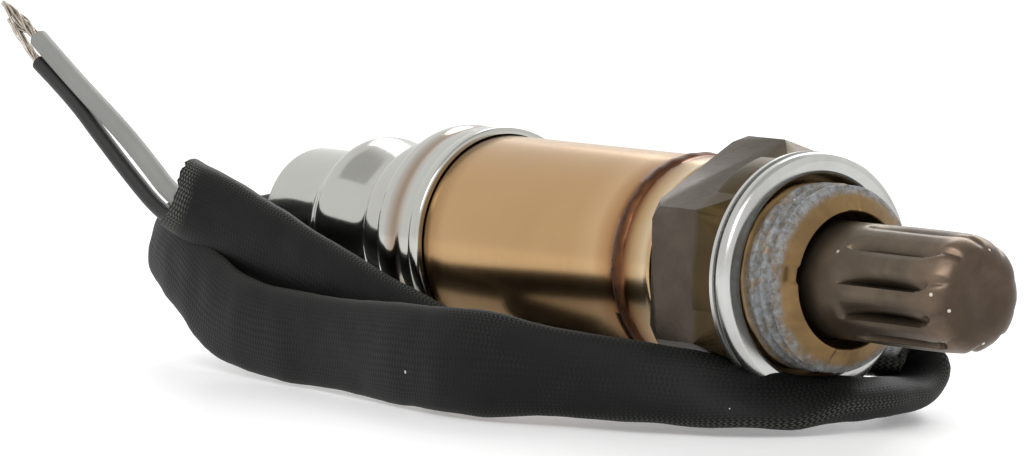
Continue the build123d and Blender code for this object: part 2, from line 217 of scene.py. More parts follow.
def smooth_line(points: Sequence[Station], rounds: int = 3) -> list[Station]:
    """Rounds a line's corners by cutting them off a few times, and keeps its two ends."""
    line = list(points)
    for _ in range(rounds):
        cut = [line[0]]
        for a, b in zip(line, line[1:]):
            cut.append((a[0] * 0.75 + b[0] * 0.25, a[1] * 0.75 + b[1] * 0.25))
            cut.append((a[0] * 0.25 + b[0] * 0.75, a[1] * 0.25 + b[1] * 0.75))
        cut.append(line[-1])
        line = cut
    return line


def join(name: str, pieces: Sequence[Piece]) -> Piece:
    """Joins meshes that are one real piece.

    Args:
        name: The joined piece's name.
        pieces: The mesh objects, of which the first takes in the others.

    Returns:
        The joined object.
    """
    take_up(pieces[0])
    for piece in pieces:
        piece.select_set(True)
    bpy.ops.object.join()
    pieces[0].name = name
    return pieces[0]


def around(point: Vector) -> Point:
    """Gives a point's place along X, its radius, both in millimetres, and its angle from +Y to +Z."""
    return point.x / MM, math.hypot(point.y, point.z) / MM, math.degrees(math.atan2(point.z, point.y)) % 360


def reshape(piece: Piece, rule: Callable[[float, float, float], Station]) -> None:
    """Moves each point of a turned piece along X and in or out.

    Args:
        piece: The mesh object.
        rule: Takes a point's place along X, radius and angle, and gives its new place along X and radius.
    """
    for vertex in piece.data.vertices:
        x, r, angle = around(vertex.co)
        new_x, new_r = rule(x, r, angle)
        share = new_r / r if r > 1e-6 else 1.0
        vertex.co = Vector((new_x * MM, vertex.co.y * share, vertex.co.z * share))
    piece.data.update()


def ease(value: float, low: float, high: float) -> float:
    """Gives 0 below low, 1 above high, and a smooth rise between them."""
    t = min(max((value - low) / (high - low), 0.0), 1.0)
    return t * t * (3 - 2 * t)


def place_object(name: str, data: bpy.types.ID) -> Piece:
    """Puts new data into the scene as an object at the origin."""
    piece = bpy.data.objects.new(name, data)
    bpy.context.scene.collection.objects.link(piece)
    return piece


def point_at(piece: Piece, place: Vector, way: Vector) -> None:
    """Puts a camera or lamp at a place and turns it to look along a direction."""
    piece.location = place
    piece.rotation_mode = "QUATERNION"
    piece.rotation_quaternion = way.to_track_quat("-Z", "Y")


def hand_over(
    piece: Piece, material: Material, nodes: Sequence[str], degrees: float = 0.0
) -> Piece:
    """Gives a finished piece its material and body, and hides the solids it stands for.

    Args:
        piece: The finished piece.
        material: Its material.
        nodes: The solids that it stands for.
        degrees: The angle up to which a mesh is shaded smooth, or 0 for a curve.

    Returns:
        The piece.
    """
    if degrees:
        take_up(piece)
        bpy.ops.object.shade_smooth_by_angle(angle=math.radians(degrees))
    piece.data.materials.clear()
    piece.data.materials.append(material)
    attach(piece, "root")
    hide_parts(*nodes)
    LOG.info("%s stands for %s", piece.name, ", ".join(nodes))
    return piece


# ---- finishes


class Sheet:
    """The nodes of one material or group, added and joined in code."""

    def __init__(self, tree: Tree) -> None:
        """Starts on an empty tree."""
        self.tree = tree
        tree.nodes.clear()

    def fill(self, node: Node, inputs: dict) -> Node:
        """Sets a node's input sockets, by name or number, from values, written colours or output sockets."""
        for key, value in inputs.items():
            if isinstance(value, Socket):
                self.tree.links.new(value, node.inputs[key])
            else:
                node.inputs[key].default_value = tint(value) if isinstance(value, str) else value
        return node

    def add(self, kind: str, inputs: dict | None = None, **settings: object) -> Node:
        """Adds a node.

        Args:
            kind: The node's type without its ShaderNode start.
            inputs: What its input sockets get.
            settings: The node's own properties.

        Returns:
            The node.
        """
        node = self.tree.nodes.new(kind if kind.startswith("Node") else "ShaderNode" + kind)
        for key, value in settings.items():
            setattr(node, key, value)
        return self.fill(node, inputs or {})

    def maths(self, operation: str, *values: object) -> Socket:
        """Adds a Math node and gives its result."""
        return self.add("Math", dict(enumerate(values)), operation=operation).outputs[0]

    def times(self, value: Socket, share: object) -> Socket:
        """Multiplies two values."""
        return self.maths("MULTIPLY", value, share)

    def plus(self, value: Socket, share: object, base: object) -> Socket:
        """Adds a share of a value to a base."""
        return self.maths("MULTIPLY_ADD", value, share, base)

    def ramp(self, value: Socket, stops: Sequence[tuple[float, object]]) -> Socket:
        """Adds a colour ramp.

        Args:
            value: The socket that it reads.
            stops: Pairs of place and written colour, or place and grey level.

        Returns:
            The ramp's colour.
        """
        node = self.add("ValToRGB", {0: value})
        elements = node.color_ramp.elements
        while len(elements) < len(stops):
            elements.new(0.5)
        for element, (place, colour) in zip(elements, stops):
            element.position = place
            element.color = tint(colour) if isinstance(colour, str) else (colour, colour, colour, 1)
        return node.outputs[0]

    def mix(self, share: object, first: object, second: object) -> Socket:
        """Mixes two colours and gives the result."""
        return self.add("Mix", {0: share, 6: first, 7: second}, data_type="RGBA").outputs[2]

    def noise(self, place: Socket, scale: float, detail: float = 3.0, rough: float = 0.5) -> Socket:
        """Adds a noise texture and gives its grey value."""
        inputs = {"Vector": place, "Scale": scale, "Detail": detail, "Roughness": rough}
        return self.add("TexNoise", inputs).outputs["Fac"]


@dataclass
class SharedEffects:
    """The effects that more than one finish uses, each built once as a node group."""

    lathe: Tree = field(init=False)
    blotches: Tree = field(init=False)
    specks: Tree = field(init=False)
    axial: Tree = field(init=False)

    def __post_init__(self) -> None:
        """Builds every group."""
        self.lathe = self.build_lathe()
        self.blotches = self.build_blotches()
        self.specks = self.build_specks()
        self.axial = self.build_axial()

    def start(self, name: str, values: dict[str, float], results: Sequence[str]) -> tuple[Sheet, dict, dict]:
        """Starts a group that reads a place.

        Args:
            name: The group's name.
            values: The default of each number that it takes.
            results: The numbers that it gives.

        Returns:
            The sheet to draw on, the sockets to read and the sockets to fill.
        """
        tree = bpy.data.node_groups.new(name, "ShaderNodeTree")
        tree.interface.new_socket("Place", in_out="INPUT", socket_type="NodeSocketVector")
        for key, value in values.items():
            socket = tree.interface.new_socket(key, in_out="INPUT", socket_type="NodeSocketFloat")
            socket.default_value = value
        for key in results:
            tree.interface.new_socket(key, in_out="OUTPUT", socket_type="NodeSocketFloat")
        sheet = Sheet(tree)
        return sheet, sheet.add("NodeGroupInput").outputs, sheet.add("NodeGroupOutput")

    def build_axial(self) -> Tree:
        """Makes the group that gives a point's place along X and its radius, in millimetres."""
        sheet, start, end = self.start("axial_place", {}, ["Along", "Radius"])
        split = sheet.add("SeparateXYZ", {0: start["Place"]}).outputs
        flat = sheet.add("CombineXYZ", {"Y": split[1], "Z": split[2]}).outputs[0]
        length = sheet.add("VectorMath", {0: flat}, operation="LENGTH").outputs["Value"]
        sheet.fill(end, {"Along": sheet.times(split[0], 1000.0), "Radius": sheet.times(length, 1000.0)})
        return sheet.tree

    def build_lathe(self) -> Tree:
        """Makes the group of fine turning marks that run round the X axis."""
        sheet, start, end = self.start("turning_marks", {"Fineness": 4000.0, "Drift": 40.0}, ["Marks"])
        split = sheet.add("SeparateXYZ", {0: start["Place"]}).outputs
        scales = (start["Fineness"], start["Drift"], start["Drift"])
        parts = {i: sheet.times(split[i], scale) for i, scale in enumerate(scales)}
        place = sheet.add("CombineXYZ", parts).outputs[0]
        sheet.fill(end, {"Marks": sheet.noise(place, 1.0, 4.0, 0.6)})
        return sheet.tree

    def build_blotches(self) -> Tree:
        """Makes the group of soft stains, from large to small."""
        values = {"Scale": 200.0, "Cover": 0.5, "Softness": 0.1}
        sheet, start, end = self.start("blotches", values, ["Mask", "Cloud"])
        look = {"Vector": start["Place"], "Scale": start["Scale"], "Detail": 5.0, "Roughness": 0.6, "Distortion": 0.4}
        cloud = sheet.add("TexNoise", look).outputs["Fac"]
        edge = sheet.maths("SUBTRACT", 1.0, start["Cover"])
        low = sheet.maths("SUBTRACT", edge, start["Softness"])
        high = sheet.maths("ADD", edge, start["Softness"])
        reach = {"Value": cloud, "From Min": low, "From Max": high}
        mask = sheet.add("MapRange", reach, interpolation_type="SMOOTHSTEP").outputs["Result"]
        sheet.fill(end, {"Mask": mask, "Cloud": cloud})
        return sheet.tree

    def build_specks(self) -> Tree:
        """Makes the group of small scattered specks of dust or bright metal."""
        sheet, start, end = self.start("specks", {"Scale": 900.0, "Size": 0.16, "Share": 0.2}, ["Mask"])
        cells = sheet.add("TexVoronoi", {"Vector": start["Place"], "Scale": start["Scale"]})
        red = sheet.add("SeparateColor", {0: cells.outputs["Color"]}).outputs[0]
        chosen = sheet.maths("LESS_THAN", red, start["Share"])
        near = sheet.maths("LESS_THAN", cells.outputs["Distance"], start["Size"])
        sheet.fill(end, {"Mask": sheet.times(chosen, near)})
        return sheet.tree


class Coat(Sheet):
    """A material in the making, with its Object coordinates and the shared effects."""

    def __init__(self, name: str, shared: SharedEffects | None = None) -> None:
        """Starts the material."""
        self.material = bpy.data.materials.new(name)
        self.material.use_nodes = True
        super().__init__(self.material.node_tree)
        self.shared = shared
        self.place = self.add("TexCoord").outputs["Object"]

    def shared_effect(self, effect: str, **values: float) -> Sequence[Socket]:
        """Places a shared effect with its own values and gives its results."""
        node = self.add("Group", node_tree=getattr(self.shared, effect))
        return self.fill(node, {"Place": self.place, **values}).outputs

    def blotches(self, scale: float, cover: float, softness: float) -> Sequence[Socket]:
        """Gives the mask and the cloud of soft stains."""
        return self.shared_effect("blotches", Scale=scale, Cover=cover, Softness=softness)

    def marks(self, fineness: float, drift: float) -> Socket:
        """Gives fine turning marks."""
        return self.shared_effect("lathe", Fineness=fineness, Drift=drift)[0]

    def specks(self, scale: float, size: float, share: float) -> Socket:
        """Gives the mask of scattered specks."""
        return self.shared_effect("specks", Scale=scale, Size=size, Share=share)[0]

    def fade(self, value: Socket, start: float, end: float) -> Socket:
        """Gives 0 at the start value, 1 at the end value and a straight run between them."""
        return self.add("MapRange", {"Value": value, "From Min": start, "From Max": end}).outputs[0]

    def away(self, value: Socket, centre: float) -> Socket:
        """Gives how far a value is from a centre."""
        return self.maths("ABSOLUTE", self.maths("SUBTRACT", value, centre))

    def wave(self, value: Socket) -> Socket:
        """Gives a wave with one period for each whole step of the value."""
        return self.maths("SINE", self.times(value, 2 * math.pi))

    def finish(
        self, colour: Socket, rough: Socket, height: Socket, strength: float, depth: float, **more: object
    ) -> Material:
        """Adds the bump, the shader and the output.

        Args:
            colour: The base colour.
            rough: The roughness.
            height: What the bump reads.
            strength: The bump's strength.
            depth: The bump's distance in millimetres.
            more: Further inputs of the shader, with _ for a space.

        Returns:
            The finished material.
        """
        bump = self.add("Bump", {"Height": height, "Strength": strength, "Distance": depth * MM}).outputs[0]
        inputs = {"Base Color": colour, "Roughness": rough, "Normal": bump}
        inputs.update({key.replace("_", " "): value for key, value in more.items()})
        shader = self.add("BsdfPrincipled", inputs)
        self.add("OutputMaterial", {"Surface": shader.outputs[0]})
        return self.material


@dataclass(frozen=True)
class ShellFinish:
    """Forged steel that heat has browned, with mounting paste in the thread."""

    flats: str = "544b42"
    flange: str = "45391f"
    nose: str = "8d7450"
    paste: str = "93979a"
    paste_dark: str = "655f56"

    def build(self, shared: SharedEffects) -> Material:
        """Makes the material."""
        coat = Coat("browned_shell", shared)
        along, radius = coat.shared_effect("axial")
        back = [(0.02, self.flats), (0.33, self.flats), (0.375, self.flange), (0.5, "4a3a22")]
        front = [(0.53, "8d6f45"), (0.6, "a5875a"), (0.78, self.nose), (0.83, "876c47")]
        steel = coat.ramp(coat.plus(along, 0.05, 0.5), back + front)
        stain, cloud = coat.blotches(260.0, 0.5, 0.16)
        steel = coat.mix(coat.times(stain, 0.35), steel, "3d342b")
        marks = coat.marks(5200.0, 120.0)
        thread = coat.times(coat.fade(along, 1.3, 1.9), coat.fade(along, 6.3, 5.7))
        zone = coat.times(thread, coat.fade(radius, 7.9, 8.3))
        paste = coat.times(zone, coat.blotches(420.0, 0.62, 0.12)[0])
        streak = coat.noise(coat.place, 1500.0, 4.0, 0.65)
        paste_colour = coat.mix(coat.ramp(streak, [(0.35, 0.0), (0.62, 1.0)]), self.paste_dark, self.paste)
        colour = coat.mix(paste, steel, paste_colour)
        white = coat.times(coat.specks(1300.0, 0.2, 0.05), zone)
        colour = coat.mix(white, colour, "d8dade")
        height = coat.plus(streak, 0.6, coat.times(marks, 0.3))
        rough = coat.plus(paste, 0.3, coat.plus(cloud, 0.25, 0.26))
        return coat.finish(colour, rough, height, 0.35, 0.12, Metallic=coat.plus(paste, -0.75, 0.9))


@dataclass(frozen=True)
class PlatedFinish:
    """Bright plated or polished steel with faint turning marks."""

    name: str
    colour: str
    stain: str
    rough: float
    stain_share: float = 0.25
    groove: float | None = None
    scuff: Point | None = None

    def build(self, shared: SharedEffects) -> Material:
        """Makes the material."""
        coat = Coat(self.name, shared)
        marks = coat.marks(3500.0, 60.0)
        mask, cloud = coat.blotches(120.0, 0.45, 0.2)
        colour = coat.mix(coat.times(mask, self.stain_share), self.colour, self.stain)
        rough = coat.plus(cloud, 0.06, coat.plus(marks, 0.1, self.rough))
        height = coat.times(marks, 0.2)
        if self.groove is not None:
            # a brown band about 1.5 mm either side of the groove's place along X
            brown = coat.fade(coat.away(coat.shared_effect("axial")[0], self.groove), 1.5, 0.2)
            colour = coat.mix(coat.times(brown, 0.75), colour, "8a6f55")
        if self.scuff is not None:
            centre = tuple(value * MM for value in self.scuff)
            gap = coat.add("VectorMath", {0: coat.place, 1: centre}, operation="DISTANCE").outputs["Value"]
            patch = coat.fade(gap, 0.0024, 0.0009)
            scratch = coat.noise(coat.place, 2600.0, 5.0, 0.75)
            worn = coat.times(patch, coat.ramp(scratch, [(0.45, 0.0), (0.6, 1.0)]))
            colour = coat.mix(coat.times(worn, 0.6), colour, "b9b6b0")
            rough = coat.plus(patch, 0.3, rough)
            height = coat.plus(coat.times(scratch, patch), 3.0, height)
        return coat.finish(colour, rough, height, 0.12, 0.08, Metallic=1.0)


@dataclass(frozen=True)
class BarrelFinish:
    """Polished steel with a straw heat tint that is browner at the weld."""

    straw: str = "bd9b71"
    brown: str = "6f452b"
    pale: str = "cdb897"
    weld: str = "35261c"
    weld_x: float = -15.2

    def build(self, shared: SharedEffects) -> Material:
        """Makes the material."""
        coat = Coat("straw_barrel", shared)
        along = coat.shared_effect("axial")[0]
        rear = [(0.0, "80613f"), (0.10, "93714b"), (0.16, self.straw), (0.55, "b9966b"), (0.62, "c2a077")]
        weld = [(0.665, "a67d53"), (0.68, self.brown), (0.715, self.brown), (0.735, "a98a62")]
        colour = coat.ramp(coat.plus(along, 0.02, 1.0), [*rear, *weld, (0.77, self.pale), (0.80, "b19468")])
        colour = coat.mix(coat.times(coat.blotches(70.0, 0.5, 0.3)[0], 0.3), colour, "a58258")
        bead = coat.fade(coat.away(along, self.weld_x), 0.85, 0.55)
        colour = coat.mix(bead, colour, coat.mix(coat.noise(coat.place, 900.0), self.weld, "6a4630"))
        marks = coat.marks(2600.0, 25.0)
        rough = coat.plus(marks, 0.12, coat.plus(bead, 0.25, 0.17))
        return coat.finish(colour, rough, marks, 0.1, 0.06, Metallic=1.0)


@dataclass(frozen=True)
class ShieldFinish:
    """Satin steel browned by exhaust heat, redder at the tip, with painted shade in the pressed louvres."""

    base: str = "675b4d"
    dark: str = "3d342b"
    tip: str = "7d6a5a"

    def build(self, shared: SharedEffects) -> Material:
        """Makes the material."""
        coat = Coat("browned_shield", shared)
        along, radius = coat.shared_effect("axial")
        stops = [(0.0, "3a3129"), (0.25, self.base), (0.72, self.base), (0.92, self.tip)]
        colour = coat.ramp(coat.plus(along, 0.04, -0.08), stops)
        mask, cloud = coat.blotches(230.0, 0.5, 0.2)
        colour = coat.mix(coat.times(mask, 0.45), colour, self.dark)
        # painted shade: the sheet is darkened where it lies nearer the axis, which paints shade into the pressed
        # louvres and also darkens the inside and the rounded end
        colour = coat.mix(coat.times(coat.fade(radius, 5.35, 4.5), 0.6), colour, "2a231d")
        colour = coat.mix(coat.specks(800.0, 0.14, 0.05), colour, "cfc9c0")
        grain = coat.noise(coat.place, 2200.0, 4.0, 0.6)
        return coat.finish(colour, coat.plus(cloud, 0.25, 0.24), grain, 0.18, 0.08, Metallic=0.85)


@dataclass(frozen=True)
class SleevingFinish:
    """Black varnished sleeving, woven fine, with worn grey crests and white dust."""

    black: str = "070807"
    crest: str = "101110"
    worn: str = "5f6059"
    pitch_along: float = 0.5
    pitch_round: float = 0.38

    def build(self, shared: SharedEffects) -> Material:
        """Makes the material."""
        coat = Coat("woven_sleeving", shared)
        uv = coat.add("UVMap", uv_map="weave").outputs[0]
        split = coat.add("SeparateXYZ", {0: uv}).outputs
        wobble = coat.noise(coat.place, 260.0, 2.0)
        across = coat.plus(wobble, 0.7, coat.times(split[0], 1 / self.pitch_round))
        run = coat.plus(wobble, 0.7, coat.times(split[1], 1 / self.pitch_along))
        # a chevron: each stitch leans one way in one column and the other way in the next
        lean = coat.plus(coat.maths("PINGPONG", across, 1.0), 0.55, run)
        weave = coat.plus(coat.wave(lean), 0.3, coat.plus(coat.wave(across), 0.2, 0.5))
        fibre = coat.noise(coat.place, 5200.0, 3.0, 0.6)
        crest = coat.ramp(coat.plus(fibre, 0.25, weave), [(0.55, 0.0), (1.0, 1.0)])
        colour = coat.mix(crest, self.black, self.crest)
        edge = coat.add("Attribute", attribute_name="worn").outputs["Fac"]
        colour = coat.mix(coat.times(edge, crest), colour, self.worn)
        haze = coat.times(coat.times(coat.blotches(110.0, 0.42, 0.18)[0], crest), 0.3)
        colour = coat.mix(haze, colour, "3b3e39")
        colour = coat.mix(coat.specks(420.0, 0.07, 0.06), colour, "c9cbc8")
        height = coat.plus(fibre, 0.2, weave)
        return coat.finish(colour, coat.plus(crest, 0.2, 0.5), height, 0.18, 0.1, Specular_IOR_Level=0.16)


@dataclass(frozen=True)
class PlasticFinish:
    """Wire insulation or rubber, with a faint mottle and handling marks."""

    name: str
    colour: str
    shade: str
    rough: float = 0.42

    def build(self, shared: SharedEffects) -> Material:
        """Makes the material."""
        coat = Coat(self.name, shared)
        mask, cloud = coat.blotches(150.0, 0.5, 0.25)
        colour = coat.mix(coat.times(mask, 0.35), self.colour, self.shade)
        grain = coat.noise(coat.place, 3500.0)
        return coat.finish(colour, coat.plus(cloud, 0.15, self.rough), grain, 0.12, 0.05)


@dataclass(frozen=True)
class MineralFinish:
    """Fired ceramic or pressed talc, matt and slightly speckled."""

    name: str
    colour: str
    shade: str
    rough: float = 0.6
    grain: float = 1800.0

    def build(self, shared: SharedEffects) -> Material:
        """Makes the material."""
        coat = Coat(self.name, shared)
        colour = coat.mix(coat.times(coat.blotches(300.0, 0.4, 0.3)[0], 0.5), self.colour, self.shade)
        grain = coat.noise(coat.place, self.grain, 4.0)
        return coat.finish(colour, coat.plus(grain, 0.15, self.rough), grain, 0.2, 0.1)


@dataclass(frozen=True)
class WireFinish:
    """Drawn metal: the tinned conductors and the nickel contact parts."""

    name: str
    colour: str
    shade: str
    rough: float = 0.25

    def build(self, shared: SharedEffects) -> Material:
        """Makes the material."""
        coat = Coat(self.name, shared)
        colour = coat.mix(coat.blotches(700.0, 0.5, 0.25)[0], self.colour, self.shade)
        marks = coat.marks(3000.0, 900.0)
        return coat.finish(colour, coat.plus(marks, 0.2, self.rough), marks, 0.1, 0.05, Metallic=1.0)


# ---- sub-assemblies


@dataclass
class ThreadedShell:
    """The hexagon with its flange, thread and staked nose, one forged piece."""

    across_flats: float = 22.0
    back_x: float = -9.4
    front_x: float = -3.2
    roll: float = 148.6
    corner_drop: float = 1.15
    flange_r: float = 11.45
    thread_r: float = 9.0
    thread_end_x: float = 5.5
    pitch: float = 1.5
    thread_depth: float = 0.72
    mouth_r: float = 6.65
    bore_r: float = 6.55
    bore_x: float = 2.0
    collar_r: float = 9.53
    collar_x: float = -17.5
    stakes: tuple[float, ...] = (85.0, 172.0, 262.0, 352.0)

    def hexagon(self) -> Piece:
        """Makes the six-sided body with its corners turned off."""
        deselect()
        corner_r = self.across_flats / 2 / math.cos(math.radians(30))
        bpy.ops.mesh.primitive_cylinder_add(
            vertices=6, radius=corner_r * MM, depth=(-0.02 - self.back_x) * MM,
            location=((self.back_x - 0.02) / 2 * MM, 0, 0), rotation=(0, math.pi / 2, 0),
        )
        body = bpy.context.object
        settle(body)
        body.data.transform(Matrix.Rotation(math.radians(self.roll), 4, "X"))
        stations = [
            (self.back_x - 0.5, 1.0), (self.back_x - 0.5, corner_r - self.corner_drop),
            (self.back_x, corner_r - self.corner_drop / 2), (self.back_x + self.corner_drop, corner_r + 0.05),
            (self.front_x, corner_r + 0.05), (0.0, corner_r - self.corner_drop),
            (0.5, corner_r - self.corner_drop - 0.2), (0.5, 1.0), (self.back_x - 0.5, 1.0),
        ]
        cone = turn("chamfer_tool", stations, 160)
        apply_modifier(body, "BOOLEAN", operation="INTERSECT", object=cone, solver="EXACT")
        bpy.data.objects.remove(cone, do_unlink=True)
        apply_modifier(body, "BEVEL", width=0.16 * MM, segments=3, limit_method="ANGLE", angle_limit=math.radians(24))
        return body

    def thread_rise(self, x: float, angle: float) -> float:
        """Gives the thread's depth below its crest at a place and angle, in millimetres."""
        phase = ((x - 0.35) / self.pitch - angle / 360) % 1.0
        away = min(phase, 1 - phase) * 2
        depth = ease(away, 0.18, 0.9) * self.thread_depth
        started = ease(x, 0.3, 1.2)
        ended = 1 - ease(x, self.thread_end_x - 0.25, self.thread_end_x + 0.1)
        wander = 0.035 * math.sin(angle * 0.11 + x * 2.1) + 0.025 * math.sin(angle * 0.23 - x * 3.3)
        return depth * started * ended + wander * started * ended

    def stake_dent(self, x: float, r: float, angle: float) -> float:
        """Gives how far the nose is pressed back at a place, in millimetres."""
        if x < self.thread_end_x + 0.2:
            return 0.0
        dent = 0.0
        for stake in self.stakes:
            gap = abs((angle - stake + 180) % 360 - 180)
            dent = max(dent, 1 - ease(gap, 5.0, 8.5))
        return dent * 0.32 * ease(self.thread_r - r, 0.9, 1.7)

    def front(self) -> Piece:
        """Makes the flange, thread and nose."""
        stations: list[Station] = [(self.front_x, 8.0), (self.front_x, self.flange_r)]
        stations += arc((-0.22, self.flange_r - 0.22), 0.22, 90, 0, 4)
        stations += [(0.0, 10.4), (0.0, self.thread_r)]
        steps = 56
        stations += [(self.thread_end_x * i / steps, self.thread_r) for i in range(1, steps + 1)]
        stations += [
            (5.62, 8.84), (5.85, 8.45), (6.05, 8.08), (6.28, 7.66), (6.48, 7.28), (6.64, 6.98), (6.75, 6.8),
            (6.8, self.mouth_r), (6.72, self.bore_r), (5.6, self.bore_r - 0.03), (4.0, self.bore_r - 0.04),
            (self.bore_x, self.bore_r - 0.05), (self.bore_x, 4.2), (-3.0, 4.2), (-3.0, 8.0),
            (self.front_x, 8.0),
        ]
        body = turn("front", stations, 256)

        def rule(x: float, r: float, angle: float) -> Station:
            """Cuts the thread and presses the stakes."""
            if r > 8.6 and 0.05 < x < self.thread_end_x + 0.3:
                r -= self.thread_rise(x, angle)
            return x - self.stake_dent(x, r, angle), r

        reshape(body, rule)
        return body

    def collar(self) -> Piece:
        """Makes the collar behind the hexagon that the barrel is pushed onto."""
        stations = [
            (self.back_x + 0.4, 6.5), (self.back_x + 0.4, 10.9), (self.back_x, 10.2),
            (self.back_x, self.collar_r - 0.04), (self.collar_x + 0.3, self.collar_r - 0.04),
            (self.collar_x, self.collar_r - 0.34), (self.collar_x, 6.5), (self.back_x + 0.4, 6.5),
        ]
        return turn("collar", stations, 96)

    def build(self, material: Material) -> Piece:
        """Makes the whole piece and dresses it."""
        shell = join("threaded_shell", [self.hexagon(), self.front(), self.collar()])
        return hand_over(shell, material, ["hex_shell"], 32)


@dataclass
class SealingRing:
    """The ring folded from bright sheet that seals the seat."""

    outer_r: float = 11.85
    width: float = 2.25
    sheet: float = 0.42

    def build(self, material: Material) -> Piece:
        """Makes the ring and dresses it."""
        half = self.sheet / 2
        middle = [
            (half, self.outer_r - 0.02), (half + 0.01, self.outer_r - 0.5), (half + 0.02, 10.8),
            (half + 0.02, 9.95), (0.75, 9.75), (1.45, 9.95), (2.02, 9.95), (2.08, 10.5), (2.04, 11.2),
            (1.75, 11.62), (1.15, 11.6), (0.74, 11.5), (0.7, 11.1),
        ]
        ring = turn("sealing_ring", sheet_outline(smooth_line(middle), self.sheet), 192)

        def rule(x: float, r: float, angle: float) -> Station:
            """Lets the folds run a little out of true, as pressed sheet does."""
            lean = 0.03 * math.sin(math.radians(angle * 2 + 40)) + 0.015 * math.sin(math.radians(angle * 5))
            return min(max(x + lean * ease(x, 0.4, 1.5), 0.0), self.width), r

        reshape(ring, rule)
        return hand_over(ring, material, ["crush_gasket"], 50)


@dataclass
class ShieldTube:
    """The drawn tube over the sensing element, with pressed louvres and a round end."""

    radius: float = 5.6
    wall: float = 0.4
    seat_x: float = 2.0
    foot_r: float = 6.5
    end_x: float = 25.7
    end_round: float = 2.9
    louvres: int = 10
    first: float = 11.0
    back_x: float = 11.2
    front_x: float = 22.4
    spread: float = 20.0
    drop: float = 1.35

    def stations(self) -> list[Station]:
        """Gives the outside of the tube from foot to tip."""
        line: list[Station] = [(self.seat_x + 0.05, self.foot_r), (self.seat_x + 0.5, self.foot_r)]
        line += arc((self.seat_x + 1.1, self.radius + 0.5), 0.5, 180, 270, 4)
        line += [(x, self.radius) for x in (4.5, 6.5, 8.5, 10.0)]
        steps = 40
        low, high = 10.6, self.end_x - self.end_round
        line += [(low + (high - low) * i / steps, self.radius) for i in range(steps + 1)]
        line += arc((high, self.radius - self.end_round), self.end_round, 84, 6, 13)
        tip_r = self.radius - self.end_round
        tip = [(0.0, tip_r), (0.06, tip_r - 0.5), (0.12, tip_r - 1.1), (0.15, 1.0), (0.16, 0.4)]
        return line + [(self.end_x - back, r) for back, r in tip]

    def pressed(self, x: float, angle: float) -> float:
        """Gives how far the sheet is pressed in at a place of the closed surface, in millimetres."""
        pitch = 360 / self.louvres
        swirl = ease(x, 21.0, 25.2) * 9.0
        local = (angle - self.first + swirl) % pitch
        along = min(max((x - self.back_x + 0.5) / (self.front_x - self.back_x + 1.2), 0.0), 1.0)
        run = math.sin(math.pi * along) ** 0.55
        if local <= self.spread:
            share = local / self.spread
            depth = self.drop * share**1.4
        else:
            share = (local - self.spread) / (pitch - self.spread)
            depth = 0.1 * self.drop * (1 - ease(share, 0.0, 0.5))
        swell = -0.1 * math.sin(math.pi * min(max((local - self.spread) / (pitch - self.spread), 0), 1))
        tail = 0.3 * math.exp(-(((local - self.spread + 5) / 4.5) ** 2))
        tail *= ease(x, 21.6, 22.8) * (1 - ease(x, 24.2, 25.3))
        return depth * run + swell * run + tail

    def dented(self, x: float, angle: float) -> float:
        """Gives the small dents of the drawn end, in millimetres."""
        a = math.radians(angle)
        waves = math.sin(2 * a + 0.6) + 0.7 * math.sin(5 * a + 2.0 + x * 0.5) + 0.5 * math.sin(9 * a + x)
        return 0.07 * (waves + 1.4) * ease(x, 21.5, 24.5)

    def build(self, material: Material) -> Piece:
        """Makes the tube and dresses it."""
        columns = 24
        tube = turn("louvred_tube", self.stations(), self.louvres * columns, closed_tip=True)
        pitch = 360 / self.louvres
        slit = math.ceil(self.spread / pitch * columns) * pitch / columns
        tube.data.transform(Matrix.Rotation(math.radians(self.first), 4, "X"))
        mesh = bmesh.new()
        mesh.from_mesh(tube.data)
        cuts = []
        for edge in mesh.edges:
            ends = [around(vertex.co) for vertex in edge.verts]
            lengthwise = abs(ends[0][0] - ends[1][0]) > 0.01
            inside = all(self.back_x + 0.3 < end[0] < self.front_x - 0.1 for end in ends)
            at_slit = all(abs(((end[2] - self.first) % pitch) - slit) < 0.3 for end in ends)
            if lengthwise and inside and at_slit:
                cuts.append(edge)
        bmesh.ops.split_edges(mesh, edges=cuts)
        for vertex in mesh.verts:
            x, r, angle = around(vertex.co)
            if x < 9 or r < 2.8:
                continue
            local = (angle - self.first) % pitch
            if abs(local - slit) < 0.3:
                sides = [around(face.calc_center_median())[2] for face in vertex.link_faces]
                before = all(((side - self.first) % pitch) < slit for side in sides)
                angle += -0.6 if before else 0.6
                if not before and not all(((side - self.first) % pitch) > slit for side in sides):
                    angle -= 0.6
            depth = self.pressed(x, angle) + self.dented(x, angle)
            share = (r - depth) / r
            vertex.co = Vector((vertex.co.x, vertex.co.y * share, vertex.co.z * share))
        mesh.normal_update()
        mesh.to_mesh(tube.data)
        mesh.free()
        apply_modifier(tube, "SOLIDIFY", thickness=self.wall * MM, offset=-1.0, use_even_offset=False)
        return hand_over(tube, material, ["shield_tube"], 48)


